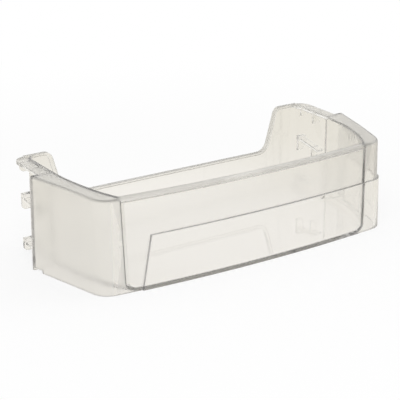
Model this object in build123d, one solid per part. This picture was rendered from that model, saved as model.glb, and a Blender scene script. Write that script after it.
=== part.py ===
from build123d import *

import os
from math import sqrt

# Refrigerator door shelf, moulded in one piece from clear plastic.
# Frame in millimetres: X along the shelf, Y towards the door, Z up. The origin is under the
# middle of the overall box, on the plane that the shelf stands on. While the pieces are made,
# Y is counted from the foot of the bare front face, and the finished shelf is moved once.

# Overall sizes
LENGTH = 402.0                # across the rear edges of the two wings
RIM_HEIGHT = 101.5            # side walls and ears above the foot plane
RIM_FALL = 4.0                # how much lower the rim is at the middle of the front
BIN_DEPTH = 169.6             # foot of the front face to the rear face of the back wall
WALL = 2.6                    # skin, side walls, back wall, webs
FLOOR = 3.2                   # floor plate

# Inside of the bin
INNER_LENGTH = 349.0          # between the side walls at the back
SWEEP_START = 113.0           # where the side walls begin to bend inwards, from the front
SWEEP_IN = 46.0               # half axis of the elliptic bend, along X
SWEEP_ALONG = 112.0           # half axis of the elliptic bend, along Y
REAR_ROUND = 11.0             # upright rear corners
FLOOR_ROUND = 6.0             # round between the floor and the side and back walls, inside

# Outer skin
FRONT_RADIUS = 1630.0         # gentle bow of the front
FRONT_LEAN = 3.4              # how far the skin leans back over the rim height
WING_DEPTH = 111.0            # front face to the rear edge of a wing
WING_FLARE = 25.5             # how far a wing leans out from the front corner to its rear edge
CORNER_RADIUS = 20.0          # upright front corners
RIM_FALL_LENGTH = 80.0        # the rim falls towards the front over this length
RIM_ROUND = 3.0               # outer edge of the rim

# Bead along the top of the front wall
BEAD_WIDTH = 6.5
BEAD_HEIGHT = 4.0

# Raised lower panel of the front, which runs round the right-hand corner
PANEL_PROUD = 2.0
PANEL_BEVEL = 1.7             # how much of that its bevelled edges take off
PANEL_BEVEL_RISE = 0.6        # height of the steep bevel along its top
PANEL_BEVEL_RUN = 1.0         # width of the bevel along its slanting edge
PANEL_HEIGHT = 56.8
PANEL_FOOT_X = -133.6         # foot of its slanting left edge
PANEL_TOP_X = -122.75         # top of its slanting left edge
PANEL_END = 96.0              # where it ends on the right wing, from the front

# Back wall with a low middle and two ears
BACK_HEIGHT = 50.7
EAR_FOOT_X = 132.5            # where the slope of an ear leaves the low edge
EAR_TOP_X = 146.8             # where the slope of an ear reaches the rim height
EAR_FOOT_ROUND = 13.0
EAR_TOP_ROUND = 9.0
LIP_REACH = 2.6               # lip that turns rearwards along the whole top edge
LIP = 3.0

# Hanging flange of each side wall, behind the wing
FLANGE_WIDTH = 13.0           # outwards from the side wall
FLANGE_DROP = 1.0             # its top lies this much under the rim
FLANGE_ROUND = 14.0           # outer rear corner
GUSSET = 2.4                  # thickness of ribs and bracket plates
REAR_GUSSET_INSET = 10.6      # rear faces of the two gussets, from the rear face of the back wall
FRONT_GUSSET_INSET = 33.6
REAR_GUSSET_DEPTH = 10.5
FRONT_GUSSET_DEPTH = 14.0
GUSSET_REACH = 11.0           # outwards from the side wall

# Brackets on the outside of each side wall, behind the wing
BRACKET_INSET = 6.6           # rear face of both brackets, from the rear face of the back wall
BRACKET_REACH = 8.8           # outwards from the side wall
BRACKET_ROUND = 4.0           # outer lower corner of the plates
UPPER_FOOT = 46.6
UPPER_HEIGHT = 17.8
UPPER_LENGTH = 38.0
UPPER_FALL = 5.2              # slope of its top plate
PAD_LENGTH = 7.0              # level pad at the rear end of each top plate
PAD_STEP = 3.4                # from the pad down to the slope
UPPER_RIB_INSET = 25.6        # rear face of the rib under the slope, from the end plate
UPPER_RIB_DEPTH = 16.0
LOWER_HEIGHT = 14.4
LOWER_LENGTH = 16.0
LOWER_FALL = 0.5

# Notch in the foot of each wing
NOTCH_LENGTH = 12.0
NOTCH_HEIGHT = 3.0

half_inner = INNER_LENGTH / 2
half_outer = half_inner + WALL
back_inner = BIN_DEPTH - WALL
front_height = RIM_HEIGHT - RIM_FALL
flange_top = RIM_HEIGHT - FLANGE_DROP
bracket_rear = BIN_DEPTH - BRACKET_INSET
lean = FRONT_LEAN / RIM_HEIGHT
margin = 2 * WALL             # how far cutters pass the faces that they cut


def bow_depth(x):
    """How far the bowed front face has fallen back at x."""
    return FRONT_RADIUS - sqrt(FRONT_RADIUS ** 2 - x ** 2)


def front_disc(inset):
    """Everything behind the bowed front face, set back by inset."""
    return Pos(0, FRONT_RADIUS) * Circle(FRONT_RADIUS - inset)


def block(x_low, x_high, y_low, y_high):
    """Rectangle in plan between two pairs of limits."""
    return Pos((x_low + x_high) / 2, (y_low + y_high) / 2) * Rectangle(x_high - x_low, y_high - y_low)


def prism(plan, low, high):
    """Upright prism on a plan."""
    return extrude(Pos(0, 0, low) * plan, high - low)


def leaning_prism(plan, low, high):
    """Prism on a plan that leans back with the front of the shelf."""
    start = Pos(0, lean * low, low) * plan
    return extrude(start, (high - low) * sqrt(1 + lean ** 2), dir=(0, lean, 1))


def side_prism(outline, x_low, x_high):
    """Prism along X on an outline drawn in Y and Z."""
    plane = Plane(origin=(x_low, 0, 0), x_dir=(0, 1, 0), z_dir=(1, 0, 0))
    return extrude(plane * outline, x_high - x_low)


def rear_prism(outline, y_low, y_high):
    """Prism along Y on an outline drawn in X and Z."""
    plane = Plane(origin=(0, y_low, 0), x_dir=(1, 0, 0), z_dir=(0, -1, 0))
    return extrude(plane * outline, y_low - y_high)


def bin_plan(grow):
    """Plan of the bin: parallel sides that bend inwards in a quarter ellipse at the front."""
    half, rear = half_inner + grow, back_inner + grow
    centre_x = half_inner - SWEEP_IN
    plan = block(-half, half, SWEEP_START, rear)
    plan = fillet(plan.vertices().group_by(Axis.Y)[-1], REAR_ROUND + grow)
    for side in (-1, 1):
        bend = Ellipse(SWEEP_IN + grow, SWEEP_ALONG + grow)
        plan += Pos(side * centre_x, SWEEP_START) * bend & block(-half, half, -LENGTH, SWEEP_START)
    return plan + block(-centre_x, centre_x, -LENGTH, SWEEP_START)


def bin_form(grow):
    """The inside of the bin grown by grow, rounded along the foot of its sides and back."""
    body = prism(bin_plan(grow), FLOOR * (1 - grow / WALL), RIM_HEIGHT + margin)
    foot_edges = [edge for edge in body.faces().sort_by(Axis.Z)[0].edges() if edge.center().Y > -WALL]
    return fillet(foot_edges, FLOOR_ROUND + grow)


def skin_plan(grow):
    """Plan inside the outer skin: bowed front, round corners and flared wings, open at the rear."""
    corner_half = LENGTH / 2 - WING_FLARE
    corner_depth = bow_depth(corner_half)
    slope = WING_FLARE / (WING_DEPTH - corner_depth)
    side = grow * sqrt(1 + slope ** 2)
    ahead, behind = -margin - abs(grow), BIN_DEPTH + margin
    front_half = corner_half + side + slope * (ahead - corner_depth)
    rear_half = corner_half + side + slope * (behind - corner_depth)
    wedge = make_face(Polyline(
        (-rear_half, behind), (rear_half, behind), (front_half, ahead), (-front_half, ahead), close=True))
    plan = wedge & front_disc(-grow)
    return fillet(plan.vertices().sort_by(Axis.Y)[:2], CORNER_RADIUS + grow)


def rim_cutter(drop):
    """What is above the rim: level at the back, falling in a long arc towards the front."""
    radius = (RIM_FALL_LENGTH ** 2 + RIM_FALL ** 2) / (2 * RIM_FALL)
    high = RIM_HEIGHT + 4 * margin
    below = Pos(RIM_FALL_LENGTH, RIM_HEIGHT - radius) * Circle(radius)
    front = block(-4 * margin, RIM_FALL_LENGTH, BACK_HEIGHT, high)
    level = block(RIM_FALL_LENGTH, 2 * BIN_DEPTH, RIM_HEIGHT, high)
    return Pos(0, 0, -drop) * side_prism(front - below + level, -LENGTH, LENGTH)


def skin():
    """Front and wings, still full, with the rounded outer edge of the rim."""
    body = leaning_prism(skin_plan(0), 0, RIM_HEIGHT + margin) - rim_cutter(0)
    body &= prism(block(-LENGTH, LENGTH, -LENGTH, WING_DEPTH), 0, RIM_HEIGHT)
    rim_edges = [edge for edge in body.edges()
                 if edge.center().Z > PANEL_HEIGHT and edge.center().Y < WING_DEPTH - WALL
                 and edge.length > 2 * WALL and edge.bounding_box().size.Z < 2 * BEAD_HEIGHT
                 and not (edge.center().Y > RIM_FALL_LENGTH - WALL and abs(edge.center().X) < half_inner)]
    return fillet(rim_edges, RIM_ROUND)


def wing_channels():
    """Cutter for the wedge-shaped hollow between each wing and the bin, open at the foot."""
    inside = leaning_prism(skin_plan(-WALL), -margin, RIM_HEIGHT) - rim_cutter(WALL)
    inside &= prism(block(-LENGTH, LENGTH, -LENGTH, WING_DEPTH - WALL), -margin, RIM_HEIGHT)
    return inside - bin_form(WALL)


def raised_panel():
    """Lower front panel, still full, with a bevelled top and a bevelled slanting edge on the left."""
    shoulder = PANEL_HEIGHT - PANEL_BEVEL_RISE
    foot_face, top_face = bow_depth(PANEL_FOOT_X), bow_depth(PANEL_TOP_X)
    rise = Vector(PANEL_TOP_X - PANEL_FOOT_X, lean * PANEL_HEIGHT + top_face - foot_face, PANEL_HEIGHT)
    beside = make_face(Polyline(
        (PANEL_FOOT_X, PANEL_END), (PANEL_FOOT_X, foot_face - PANEL_PROUD + PANEL_BEVEL),
        (PANEL_FOOT_X + PANEL_BEVEL_RUN, foot_face - PANEL_PROUD), (PANEL_FOOT_X + PANEL_BEVEL_RUN, -LENGTH),
        (2 * LENGTH, -LENGTH), (2 * LENGTH, PANEL_END), close=True))
    panel = leaning_prism(skin_plan(PANEL_PROUD), 0, shoulder)
    panel += loft([
        Pos(0, lean * shoulder, shoulder) * skin_plan(PANEL_PROUD),
        Pos(0, lean * PANEL_HEIGHT, PANEL_HEIGHT) * skin_plan(PANEL_PROUD - PANEL_BEVEL)], ruled=True)
    panel &= prism(block(-LENGTH, LENGTH, -LENGTH, PANEL_END), 0, PANEL_HEIGHT)
    return panel & extrude(beside, rise.length, dir=rise)


def cavity():
    """Inside of the bin above the floor, with the bead left along the front."""
    bead_foot = front_height - BEAD_HEIGHT
    high = RIM_HEIGHT + margin
    front = leaning_prism(front_disc(WALL), 0, bead_foot)
    front += leaning_prism(front_disc(BEAD_WIDTH), bead_foot, high)
    return bin_form(0) & front


def back_profile(drop):
    """Back wall seen from the rear, with its top edge lowered by drop: low middle, two ears."""
    low, top = BACK_HEIGHT - drop, RIM_HEIGHT - drop
    foot, head = EAR_FOOT_X + drop, EAR_TOP_X + drop
    outline = make_face(Polyline(
        (-half_outer, 0), (half_outer, 0), (half_outer, top), (head, top), (foot, low),
        (-foot, low), (-head, top), (-half_outer, top), close=True))
    for level, radius in ((low, EAR_FOOT_ROUND + drop), (top, EAR_TOP_ROUND - drop)):
        bends = [corner for corner in outline.vertices()
                 if abs(corner.Y - level) < WALL / 2 and EAR_FOOT_X - WALL < abs(corner.X) < half_inner]
        outline = fillet(bends, radius)
    return outline


def gusset(rear, low, high, reach):
    """Rib across the outside of the right side wall, with a rounded outer lower corner."""
    outline = block(half_inner - REAR_ROUND, half_outer + reach, low, high)
    outline = fillet(outline.vertices().group_by(Axis.Y)[0].sort_by(Axis.X)[-1:], BRACKET_ROUND)
    return rear_prism(outline, rear - GUSSET, rear)


def bracket(foot, height, length, fall):
    """End plate and stepped, sloping top plate on the outside of the right side wall."""
    top, front, step = foot + height, bracket_rear - length, bracket_rear - PAD_LENGTH
    ramp = top - PAD_STEP
    profile = make_face(Polyline(
        (bracket_rear, top), (step, top), (step, ramp), (front, ramp - fall),
        (front, ramp - fall - GUSSET), (step, ramp - GUSSET), (bracket_rear, ramp - GUSSET), close=True))
    plate = side_prism(profile, half_inner - REAR_ROUND, half_outer + BRACKET_REACH)
    return plate + gusset(bracket_rear, foot, top, BRACKET_REACH)


def door_fittings():
    """Flange with its gussets and the two brackets, behind the right wing."""
    outer, rear = half_outer + FLANGE_WIDTH, BIN_DEPTH + LIP_REACH
    plan = block(half_inner, outer, WING_DEPTH - WALL, rear)
    plan = fillet(plan.vertices().group_by(Axis.Y)[-1].sort_by(Axis.X)[-1:], FLANGE_ROUND)
    fittings = prism(plan, flange_top - LIP, flange_top)
    for inset, depth in ((REAR_GUSSET_INSET, REAR_GUSSET_DEPTH), (FRONT_GUSSET_INSET, FRONT_GUSSET_DEPTH)):
        fittings += gusset(BIN_DEPTH - inset, flange_top - depth, flange_top, GUSSET_REACH)
    fittings += bracket(UPPER_FOOT, UPPER_HEIGHT, UPPER_LENGTH, UPPER_FALL)
    slope = UPPER_FALL / (UPPER_LENGTH - PAD_LENGTH)
    rib_top = UPPER_FOOT + UPPER_HEIGHT - PAD_STEP - slope * (UPPER_RIB_INSET + GUSSET - PAD_LENGTH)
    rib_rear = bracket_rear - UPPER_RIB_INSET
    fittings += gusset(rib_rear, rib_top - UPPER_RIB_DEPTH, rib_top, BRACKET_REACH)
    fittings += bracket(0, LOWER_HEIGHT, LOWER_LENGTH, LOWER_FALL)
    return fittings - bin_form(WALL / 2)


def door_shelf():
    """The whole moulding, as one solid."""
    behind_wings = block(-LENGTH, LENGTH, WING_DEPTH - WALL, 2 * BIN_DEPTH)
    bin_block = bin_form(WALL) & prism(behind_wings, 0, RIM_HEIGHT)
    shelf = skin() + bin_block + raised_panel()
    shelf -= wing_channels()
    shelf -= cavity()
    above_back = block(-half_outer, half_outer, 0, RIM_HEIGHT) - back_profile(0)
    shelf -= rear_prism(above_back, back_inner - WALL, BIN_DEPTH + margin)
    shelf += rear_prism(back_profile(0) - back_profile(LIP), back_inner, BIN_DEPTH + LIP_REACH)
    right = door_fittings()
    shelf += right + mirror(right, Plane.YZ)
    notch = block(half_outer, LENGTH, WING_DEPTH - WALL - NOTCH_LENGTH, WING_DEPTH - WALL)
    for side in (notch, mirror(notch, Plane.YZ)):
        shelf -= prism(side, -margin, NOTCH_HEIGHT)
    middle = (BIN_DEPTH + LIP_REACH - PANEL_PROUD) / 2
    return Pos(0, -middle, 0) * shelf


os.makedirs("parts", exist_ok=True)
shelf = door_shelf()
box = shelf.bounding_box()
print("solids", len(shelf.solids()), "volume", round(shelf.volume), "size", box.size, "low", box.min)
export_step(shelf, "parts/door_shelf.step")
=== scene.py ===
# %% [markdown]
# Refrigerator door shelf in clear plastic.
# The shelf is one injection moulding: a bin with a bowed front, two flared wings, a low back
# between two ears, and small flanges and brackets behind the wings that hang in the door.
# A solid model of it already exists, so this lesson does what Blender is best at: it welds the
# mesh, marks which faces are polished and which are frosted, and makes the plastic, the light
# and the camera.

# %% Load the solid model
import bpy
import math
from mathutils import Matrix, Vector


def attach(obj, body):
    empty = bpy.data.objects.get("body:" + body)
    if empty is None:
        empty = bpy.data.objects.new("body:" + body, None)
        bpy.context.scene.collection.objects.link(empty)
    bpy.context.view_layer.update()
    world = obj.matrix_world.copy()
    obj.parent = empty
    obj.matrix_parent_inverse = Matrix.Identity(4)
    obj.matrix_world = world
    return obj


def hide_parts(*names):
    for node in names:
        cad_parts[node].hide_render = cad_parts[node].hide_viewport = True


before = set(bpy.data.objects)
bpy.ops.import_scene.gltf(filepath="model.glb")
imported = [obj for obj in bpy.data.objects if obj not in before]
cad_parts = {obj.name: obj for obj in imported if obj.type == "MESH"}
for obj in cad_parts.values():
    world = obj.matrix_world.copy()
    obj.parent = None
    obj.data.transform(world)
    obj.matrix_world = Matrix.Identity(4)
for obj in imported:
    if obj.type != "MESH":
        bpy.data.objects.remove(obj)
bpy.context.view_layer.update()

# %% [markdown]
# Camera.
# The photograph was taken with a long lens, from the left of the front and a little above. The
# lines of the shelf give the place and the direction of the camera, so both are written down as
# numbers, and the rotation is built from the direction that the camera looks in. A camera looks
# along its own negative Z axis, so the three axes are put into a matrix as columns.

# %% Camera at the photograph's angle
CAMERA_PLACE = Vector((-0.7484, -1.1209, 0.5477))
CAMERA_FORWARD = Vector((0.51367, 0.78307, -0.35080)).normalized()
CAMERA_LENS_MM = 120.37
CAMERA_SENSOR_MM = 36.0


def looking(forward):
    """Rotation of a camera or lamp that looks along forward with its upper side up."""
    right = forward.cross(Vector((0, 0, 1))).normalized()
    up = right.cross(forward).normalized()
    return Matrix((right, up, -forward)).transposed()


scene = bpy.context.scene
camera_data = bpy.data.cameras.new("camera")
camera_data.lens = CAMERA_LENS_MM
camera_data.sensor_width = CAMERA_SENSOR_MM
camera = bpy.data.objects.new("camera", camera_data)
camera.matrix_world = Matrix.Translation(CAMERA_PLACE) @ looking(CAMERA_FORWARD).to_4x4()
scene.collection.objects.link(camera)
scene.camera = camera
scene.view_settings.view_transform = "Standard"
print("camera at", tuple(CAMERA_PLACE), "with a lens of", CAMERA_LENS_MM, "mm")

# %% [markdown]
# Light paths.
# A thin wall of clear plastic guides light: a ray that gets in at a flat angle is mirrored back
# and forth between the two faces, often dozens of times, before it leaves at an edge. Blender
# drops a ray after a set number of bounces, and a dropped ray is black. With the usual limit the
# edges of the shelf would be thick black lines, so the limits are raised.

# %% Bounces
LIGHT_BOUNCES = 160

scene.cycles.max_bounces = LIGHT_BOUNCES
scene.cycles.transmission_bounces = LIGHT_BOUNCES
scene.cycles.glossy_bounces = LIGHT_BOUNCES
print("a ray may bounce", LIGHT_BOUNCES, "times")

# %% [markdown]
# Small helpers for node trees.
# Shader trees and geometry trees are built in the same way: nodes are added, some of their
# sockets get a value, and others are linked. A few short functions keep the later cells readable.
# Each of the last four adds one node and returns its output, so they can be put into each other.

# %% Node helpers


def put(tree, kind, **settings):
    """Adds a node and sets its properties."""
    node = tree.nodes.new(kind)
    for name, value in settings.items():
        setattr(node, name, value)
    return node


def feed(tree, socket, value):
    """Links an output to a socket, or writes a plain value into it."""
    if isinstance(value, bpy.types.NodeSocket):
        tree.links.new(value, socket)
    else:
        socket.default_value = value


def feed_all(tree, node, values):
    """Feeds the first sockets of a node, in their order."""
    for socket, value in zip(node.inputs, values):
        feed(tree, socket, value)


def calc(tree, operation, *values):
    """A Math node."""
    node = put(tree, "ShaderNodeMath", operation=operation)
    feed_all(tree, node, values)
    return node.outputs[0]


def blend(tree, factor, first, second):
    """A Mix node for colours."""
    node = put(tree, "ShaderNodeMix", data_type="RGBA")
    colours = [socket for socket in node.inputs if socket.type == "RGBA"]
    feed(tree, node.inputs[0], factor)
    feed(tree, colours[0], first)
    feed(tree, colours[1], second)
    return [socket for socket in node.outputs if socket.type == "RGBA"][0]


def ramp(tree, value, low, high, at_low=0.0, at_high=1.0):
    """A smooth step from at_low to at_high, while the value goes from low to high."""
    node = put(tree, "ShaderNodeMapRange", interpolation_type="SMOOTHSTEP")
    feed_all(tree, node, (value, low, high, at_low, at_high))
    return node.outputs["Result"]


def either(tree, factor, first, second):
    """A Mix Shader node."""
    node = put(tree, "ShaderNodeMixShader")
    feed_all(tree, node, (factor, first, second))
    return node.outputs[0]


print("helpers ready")

# %% [markdown]
# Light and background.
# Clear plastic shows what is around it, so the surroundings matter more than the lamps. The
# photograph has a white background and dark lines along the edges of the plastic. A wall that
# faces the camera shows the white behind it, while an edge bends the light far upwards or
# sideways. So the world is white low down and darker high up for rays that pass through the
# plastic or are mirrored in it, which draws the edges without any dark colour in the material.
# The camera itself sees plain white, and all other rays get an even grey dome.

# %% World
FULL_LIGHT = 1.0
BACKDROP_COLOUR = (1.0, 1.0, 1.0, 1.0)
STUDIO_WHITE = (1.0, 0.985, 0.955, 1.0)
STUDIO_TOP = (0.56, 0.535, 0.45, 1.0)
FADE_LOW = 0.35
FADE_HIGH = 0.90
DOME_COLOUR = (0.8, 0.8, 0.8, 1.0)
DOME_LIGHT = 0.80

world = bpy.data.worlds.new("studio")
scene.world = world
world.use_nodes = True
sky = world.node_tree
sky.nodes.clear()


def background(colour, strength):
    """A Background node of the world."""
    node = put(sky, "ShaderNodeBackground")
    feed_all(sky, node, (colour, strength))
    return node.outputs[0]


height = put(sky, "ShaderNodeSeparateXYZ")
feed(sky, height.inputs[0], put(sky, "ShaderNodeTexCoord").outputs["Generated"])
fade = ramp(sky, height.outputs["Z"], FADE_LOW, FADE_HIGH)
studio = background(blend(sky, fade, STUDIO_WHITE, STUDIO_TOP), FULL_LIGHT)
rays = put(sky, "ShaderNodeLightPath").outputs
through = calc(sky, "MAXIMUM", rays["Is Glossy Ray"], rays["Is Transmission Ray"])
around = either(sky, through, background(DOME_COLOUR, DOME_LIGHT), studio)
backdrop = background(BACKDROP_COLOUR, FULL_LIGHT)
seen = either(sky, rays["Is Camera Ray"], around, backdrop)
feed(sky, put(sky, "ShaderNodeOutputWorld").inputs["Surface"], seen)
print("world made with", len(sky.nodes), "nodes")

# %% [markdown]
# Floor.
# The floor is a large pale sheet just under the shelf. Most of what the camera sees of it is a
# plain white glow, so that it ends in the same white as the world. The rest is a diffuse surface
# that keeps the shadow of the shelf, and it fades out further away. Seen through the plastic the
# glow has two other tones, pale under the shelf and darker further off. A flat wall shows the
# floor close by and stays bright, and an edge that bends the light outwards gets a line.

# %% Floor
FLOOR_HALF = 6.0
FLOOR_GAP = 0.0004
FLOOR_COLOUR = (0.95, 0.95, 0.95, 1.0)
FLOOR_UNDER = (0.96, 0.935, 0.895, 1.0)
FLOOR_BEHIND = (0.80, 0.765, 0.68, 1.0)
UNDER_RADIUS = 0.05
BEHIND_RADIUS = 0.40
SHADOW_NEAR = 0.25
SHADOW_FAR = 0.80
GLOW_NEAR = 0.82
CORNER_SIGNS = ((-1, -1), (1, -1), (1, 1), (-1, 1))

floor_mesh = bpy.data.meshes.new("floor")
corners = [(x * FLOOR_HALF, y * FLOOR_HALF, -FLOOR_GAP) for x, y in CORNER_SIGNS]
floor_mesh.from_pydata(corners, [], [range(len(corners))])
floor = bpy.data.objects.new("floor", floor_mesh)
scene.collection.objects.link(floor)
print("floor", 2 * FLOOR_HALF, "m wide")

# %% Floor material
floor_material = bpy.data.materials.new("pale_floor")
floor_material.use_nodes = True
floor_tree = floor_material.node_tree
floor_tree.nodes.clear()
sheet = put(floor_tree, "ShaderNodeBsdfDiffuse")
sheet.inputs["Color"].default_value = FLOOR_COLOUR
away = put(floor_tree, "ShaderNodeVectorMath", operation="LENGTH")
feed(floor_tree, away.inputs[0], put(floor_tree, "ShaderNodeTexCoord").outputs["Object"])
distance = away.outputs["Value"]
rays = put(floor_tree, "ShaderNodeLightPath").outputs
off_shelf = ramp(floor_tree, distance, UNDER_RADIUS, BEHIND_RADIUS)
in_plastic = blend(floor_tree, off_shelf, FLOOR_UNDER, FLOOR_BEHIND)
glow = put(floor_tree, "ShaderNodeEmission")
tone = blend(floor_tree, rays["Is Camera Ray"], in_plastic, BACKDROP_COLOUR)
feed_all(floor_tree, glow, (tone, FULL_LIGHT))
bent = calc(floor_tree, "MAXIMUM", rays["Is Glossy Ray"], rays["Is Transmission Ray"])
visible = calc(floor_tree, "MAXIMUM", rays["Is Camera Ray"], bent)
share = ramp(floor_tree, distance, SHADOW_NEAR, SHADOW_FAR, GLOW_NEAR, FULL_LIGHT)
glow_share = calc(floor_tree, "MULTIPLY", visible, share)
floor_look = either(floor_tree, glow_share, sheet.outputs[0], glow.outputs[0])
feed(floor_tree, put(floor_tree, "ShaderNodeOutputMaterial").inputs["Surface"], floor_look)
floor_mesh.materials.append(floor_material)
print("floor material made with", len(floor_tree.nodes), "nodes")

# %% [markdown]
# Lamps.
# Two wide soft lamps give the object its plain studio light. They are large and near, so that
# the shadow is soft. The plastic does not mirror them or show them: a bright square that is
# guided through a wall would come out at the edges as white specks.

# %% Soft lamps
LAMPS = {
    "key_lamp": {"place": (-1.1, -1.3, 1.9), "side": 1.6, "power": 22.0},
    "fill_lamp": {"place": (1.6, -0.4, 1.5), "side": 1.4, "power": 9.0},
}

for name, choice in LAMPS.items():
    lamp_data = bpy.data.lights.new(name, "AREA")
    lamp_data.shape = "SQUARE"
    lamp_data.size = choice["side"]
    lamp_data.energy = choice["power"]
    lamp = bpy.data.objects.new(name, lamp_data)
    lamp_place = Vector(choice["place"])
    lamp.matrix_world = Matrix.Translation(lamp_place) @ looking(-lamp_place.normalized()).to_4x4()
    lamp.visible_glossy = False
    lamp.visible_transmission = False
    scene.collection.objects.link(lamp)
    print(name, "at", choice["place"], "with", choice["power"], "W")

# %% [markdown]
# Clear plastic.
# The shelf is moulded in clear polystyrene. Light goes through it and loses a little on the way,
# so thin walls look nearly white and long paths inside a wall look dark. That is what a volume
# absorption does, and it needs no painted colour. The mould is polished for the inside and for
# the window in the front, and finely blasted for most of the outer skin, so the roughness follows
# an attribute of the faces that the geometry tree writes later. The grain of the blasting varies
# the roughness a little.

# %% Clear plastic: body and roughness
FULLY_CLEAR = 1.0
PLASTIC_IOR = 1.59
PLASTIC_TINT = (0.995, 0.993, 0.985, 1.0)
ABSORB_COLOUR = (0.45, 0.45, 0.47, 1.0)
ABSORB_PER_METRE = 5.5
POLISH = 0.012
FROST = 0.31
FROST_SPREAD = 0.06
GRAIN_SCALE = 1800.0
GRAIN_DETAIL = 2.0

plastic = bpy.data.materials.new("clear_plastic_frosted")
plastic.use_nodes = True
tree = plastic.node_tree
tree.nodes.clear()
in_piece = put(tree, "ShaderNodeTexCoord").outputs["Object"]


def noise(scale, detail):
    """A Noise Texture node on the piece's own coordinates."""
    node = put(tree, "ShaderNodeTexNoise")
    feed(tree, node.inputs["Vector"], in_piece)
    feed(tree, node.inputs["Scale"], scale)
    feed(tree, node.inputs["Detail"], detail)
    return node.outputs["Fac"]


surface = put(tree, "ShaderNodeBsdfPrincipled")
surface.inputs["Base Color"].default_value = PLASTIC_TINT
surface.inputs["IOR"].default_value = PLASTIC_IOR
surface.inputs["Transmission Weight"].default_value = FULLY_CLEAR
frost = put(tree, "ShaderNodeAttribute", attribute_name="frost").outputs["Fac"]
grain = noise(GRAIN_SCALE, GRAIN_DETAIL)
matt = calc(tree, "MULTIPLY_ADD", grain, FROST_SPREAD, FROST - FROST_SPREAD / 2)
feed(tree, surface.inputs["Roughness"], calc(tree, "MULTIPLY_ADD", frost, matt, POLISH))
absorb = put(tree, "ShaderNodeVolumeAbsorption")
absorb.inputs["Color"].default_value = ABSORB_COLOUR
absorb.inputs["Density"].default_value = ABSORB_PER_METRE
output = put(tree, "ShaderNodeOutputMaterial")
feed(tree, output.inputs["Surface"], surface.outputs[0])
feed(tree, output.inputs["Volume"], absorb.outputs[0])
print("plastic made with", len(tree.nodes), "nodes so far")

# %% [markdown]
# Rounded edges, grain and waviness.
# No moulded edge is a perfect crease. Where two walls meet, a tiny rounding bends the light away
# and draws a thin line, and these lines are most of what is seen of a clear part. The mesh has
# the larger rounds. The small ones come from a Bevel node, which turns the normals near an edge.
# The fine grain of the frosted faces and the slow waviness of a moulded wall are bumps on top.

# %% Clear plastic: edges and bumps
EDGE_ROUND = 0.0020
EDGE_SAMPLES = 4
GRAIN_STRENGTH = 0.25
GRAIN_DEPTH = 0.00003
WAVE_SCALE = 22.0
WAVE_DETAIL = 1.0
WAVE_STRENGTH = 0.5
WAVE_DEPTH = 0.00008


def bump(bump_height, strength, depth, normal):
    """A Bump node on top of other normals."""
    node = put(tree, "ShaderNodeBump")
    feed(tree, node.inputs["Height"], bump_height)
    feed(tree, node.inputs["Strength"], strength)
    feed(tree, node.inputs["Distance"], depth)
    feed(tree, node.inputs["Normal"], normal)
    return node.outputs["Normal"]


edge = put(tree, "ShaderNodeBevel", samples=EDGE_SAMPLES)
edge.inputs["Radius"].default_value = EDGE_ROUND
grain_height = calc(tree, "MULTIPLY", grain, frost)
grained = bump(grain_height, GRAIN_STRENGTH, GRAIN_DEPTH, edge.outputs["Normal"])
waved = bump(noise(WAVE_SCALE, WAVE_DETAIL), WAVE_STRENGTH, WAVE_DEPTH, grained)
feed(tree, surface.inputs["Normal"], waved)
print("plastic made with", len(tree.nodes), "nodes")

# %% [markdown]
# The moulding.
# The mesh of the solid model is loose triangles. A geometry tree welds a copy of it, shades the
# round edges smoothly and the sharp ones sharply, and marks the frosted faces with an attribute.
# The sizes of that rule are named inputs of the tree, in metres, apart from slopes, shares of a
# normal, degrees of frost and the angle. A frost of 1 is the roughness of the blasted wings.

# %% Geometry tree for the moulding
SIZES = {
    "Weld distance": 0.00001,
    "Front middle": -0.0851,
    "Front radius": 1.630,
    "Lean": 0.0335,
    "Corner half": 0.1755,
    "Corner depth": 0.0095,
    "Wing slope": 0.2512,
    "Corner room": 0.0050,
    "Facing out": 0.3,
    "Facing up": 0.2,
    "Panel foot": -0.1325,
    "Panel slant": 0.1910,
    "Panel top": 0.0561,
    "Panel end": 0.0962,
    "Front facing": 0.975,
    "Front frost": 0.6,
    "Rim foot": 0.092,
    "Shell half": 0.140,
    "Shell depth": 0.111,
    "Shell frost": 0.3,
    "Lip depth": 0.0790,
    "Lip foot": 0.0440,
    "Lip frost": 1.8,
    "Sharp angle": math.radians(32),
}

moulding = bpy.data.node_groups.new("moulding_finish", "GeometryNodeTree")
moulding.interface.new_socket("Geometry", in_out="INPUT", socket_type="NodeSocketGeometry")
moulding.interface.new_socket("Geometry", in_out="OUTPUT", socket_type="NodeSocketGeometry")
for name, value in SIZES.items():
    size = moulding.interface.new_socket(name, in_out="INPUT", socket_type="NodeSocketFloat")
    size.default_value = value
entry = put(moulding, "NodeGroupInput").outputs
weld = put(moulding, "GeometryNodeMergeByDistance")
feed(moulding, weld.inputs["Geometry"], entry["Geometry"])
feed(moulding, weld.inputs["Distance"], entry["Weld distance"])
print("geometry tree has", len(SIZES), "named sizes")

# %% [markdown]
# Short words for the rule.
# The rule is made of yes and no: a comparison gives 1 or 0, a product means that both hold, and
# the larger of two means that one of them holds. One short function for each makes the rule
# read nearly like a sentence.

# %% Words for the rule


def times(first, second):
    """Product of two values, which is also: both hold."""
    return calc(moulding, "MULTIPLY", first, second)


def minus(first, second):
    """First value less the second."""
    return calc(moulding, "SUBTRACT", first, second)


def larger(first, second):
    """The larger value, which is also: one of them holds."""
    return calc(moulding, "MAXIMUM", first, second)


def over(first, second):
    """1 where the first value is above the second."""
    return calc(moulding, "GREATER_THAN", first, second)


def under(first, second):
    """1 where the first value is below the second."""
    return calc(moulding, "LESS_THAN", first, second)


def opposite(value):
    """1 where a rule does not hold."""
    return minus(1.0, value)


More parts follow.
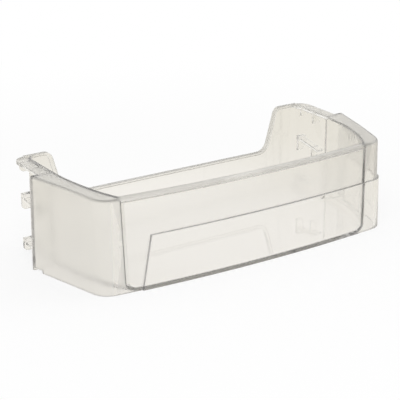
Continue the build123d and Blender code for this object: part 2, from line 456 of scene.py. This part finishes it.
position = put(moulding, "ShaderNodeSeparateXYZ")
feed(moulding, position.inputs[0], put(moulding, "GeometryNodeInputPosition").outputs[0])
facing = put(moulding, "ShaderNodeSeparateXYZ")
feed(moulding, facing.inputs[0], put(moulding, "GeometryNodeInputNormal").outputs[0])
x, y, z = position.outputs
facing_x, facing_y, facing_z = facing.outputs
half = calc(moulding, "ABSOLUTE", x)
ahead = times(facing_y, -1.0)
sideways = times(facing_x, calc(moulding, "SIGN", x))
faces_out = over(larger(sideways, ahead), entry["Facing out"])
faces_up = over(facing_z, entry["Facing up"])
print("directions made with", len(moulding.nodes), "nodes so far")

# %% [markdown]
# Distance to the skin.
# Seen from above, the front is an arc of a large circle, and x squared over twice the radius is
# a good measure of how far it has fallen back. The wings are straight lines. Both lean back with
# the height, so the height times the lean is taken off the depth first.

# %% Outer skin
depth = minus(minus(y, entry["Front middle"]), times(z, entry["Lean"]))
bow = calc(moulding, "DIVIDE", times(x, x), times(entry["Front radius"], 2.0))
wing_run = times(minus(depth, entry["Corner depth"]), entry["Wing slope"])
wing_half = calc(moulding, "ADD", entry["Corner half"], wing_run)
skin_gap = larger(minus(bow, depth), minus(half, wing_half))
near_skin = over(skin_gap, times(entry["Corner room"], -1.0))
print("skin measured with", len(moulding.nodes), "nodes so far")

# %% [markdown]
# Where the mould is blasted.
# The outer skin of the front and of the wings is frosted, but not the raised panel, which is the
# window of the shelf. The front is finer than the wings. The top of the rim and the lip of the
# back are frosted as well, and the outside of the inner walls, in the channel behind the wings,
# has a slight haze. Where two of these meet, the rougher one counts.

# %% Rule for the frosted faces
slant_x = calc(moulding, "MULTIPLY_ADD", z, entry["Panel slant"], entry["Panel foot"])
low_on_front = times(under(z, entry["Panel top"]), under(depth, entry["Panel end"]))
on_panel = times(over(x, slant_x), low_on_front)
in_front = over(ahead, entry["Front facing"])
front_share = opposite(times(in_front, opposite(entry["Front frost"])))
on_skin = times(times(near_skin, faces_out), opposite(on_panel))
skin_frost = times(on_skin, front_share)
rim_frost = times(faces_up, over(z, entry["Rim foot"]))
at_end = times(over(half, entry["Shell half"]), under(depth, entry["Shell depth"]))
on_shell = times(times(faces_out, at_end), opposite(near_skin))
shell_frost = times(on_shell, entry["Shell frost"])
at_lip = times(over(y, entry["Lip depth"]), over(z, entry["Lip foot"]))
lip_frost = times(times(at_lip, faces_up), entry["Lip frost"])
frosted = larger(larger(skin_frost, rim_frost), larger(lip_frost, shell_frost))
mark = put(moulding, "GeometryNodeStoreNamedAttribute", data_type="FLOAT", domain="FACE")
mark.inputs["Name"].default_value = "frost"
feed(moulding, mark.inputs["Geometry"], weld.outputs[0])
feed(moulding, mark.inputs["Value"], frosted)
print("rule made with", len(moulding.nodes), "nodes so far")

# %% [markdown]
# Smooth and sharp edges.
# A bent wall is many flat triangles, and smooth shading hides that. Where two faces meet at a
# large angle the edge is a real one, so it is marked as sharp. The tree ends by giving the mesh
# its material.

# %% Shading and material
smooth = put(moulding, "GeometryNodeSetShadeSmooth", domain="FACE")
feed(moulding, smooth.inputs["Geometry"], mark.outputs["Geometry"])
smooth.inputs["Shade Smooth"].default_value = True
sharp = put(moulding, "GeometryNodeSetShadeSmooth", domain="EDGE")
feed(moulding, sharp.inputs["Geometry"], smooth.outputs[0])
angle = put(moulding, "GeometryNodeInputMeshEdgeAngle").outputs["Unsigned Angle"]
feed(moulding, sharp.inputs["Selection"], over(angle, entry["Sharp angle"]))
sharp.inputs["Shade Smooth"].default_value = False
realize = put(moulding, "GeometryNodeRealizeInstances")
feed(moulding, realize.inputs["Geometry"], sharp.outputs[0])
coat = put(moulding, "GeometryNodeSetMaterial")
feed(moulding, coat.inputs["Geometry"], realize.outputs[0])
coat.inputs["Material"].default_value = plastic
feed(moulding, put(moulding, "NodeGroupOutput").inputs[0], coat.outputs[0])
print("geometry tree made with", len(moulding.nodes), "nodes")

# %% [markdown]
# From the tree to a plain mesh.
# The modifier is put on a copy of the node's mesh. A second modifier weights the normals by the
# area of the faces, so that the large flat walls stay flat beside their rounded edges. The
# evaluated result is then kept as a plain mesh, which is what rides on the body.

# %% Make the moulding
EVEN_WEIGHT = 50

raw = bpy.data.objects.new("moulding_raw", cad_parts["door_shelf"].data.copy())
scene.collection.objects.link(raw)
finish = raw.modifiers.new("finish", "NODES")
finish.node_group = moulding
for item in moulding.interface.items_tree:
    if item.in_out == "INPUT" and item.name in SIZES:
        finish[item.identifier] = SIZES[item.name]
weighted = raw.modifiers.new("weighted", "WEIGHTED_NORMAL")
weighted.keep_sharp = True
weighted.weight = EVEN_WEIGHT
depsgraph = bpy.context.evaluated_depsgraph_get()
made = bpy.data.meshes.new_from_object(raw.evaluated_get(depsgraph), depsgraph=depsgraph)
bpy.data.objects.remove(raw)
shelf = bpy.data.objects.new("clear_moulding", made)
scene.collection.objects.link(shelf)
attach(shelf, "root")
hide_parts("door_shelf")
frosted_faces = sum(face.value > 0 for face in made.attributes["frost"].data)
print("moulding has", len(made.polygons), "faces, of which", frosted_faces, "are frosted")
